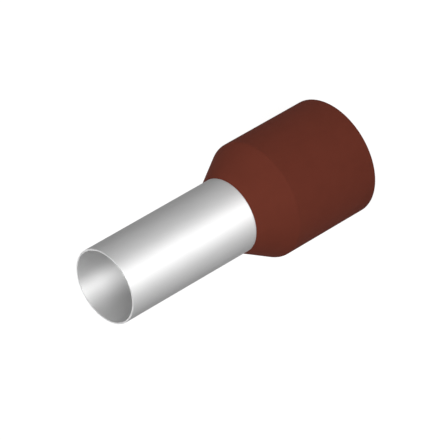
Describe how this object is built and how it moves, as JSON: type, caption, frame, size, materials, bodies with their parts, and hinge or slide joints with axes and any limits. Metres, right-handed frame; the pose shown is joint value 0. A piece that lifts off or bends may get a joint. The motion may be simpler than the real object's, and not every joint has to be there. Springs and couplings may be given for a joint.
{
  "type": "wire ferrule",
  "caption": "Insulated wire end sleeve: a thin flared metal tube for a stranded conductor, gripped by a tapered plastic collar that takes the end of its insulation.",
  "frame": {"origin": "centre of the collar's rear rim, on the plane it stands on", "axes": "+Z along the common axis, from the end where the wire goes in to the metal tube's mouth"},
  "size_m": [0.012, 0.012, 0.03],
  "materials": {
    "tinned_copper": "satin",
    "brown_plastic": "satin"
  },
  "bodies": {
    "root": {"metal_sleeve": "tinned_copper", "insulating_collar": "brown_plastic"}
  },
  "joints": []
}
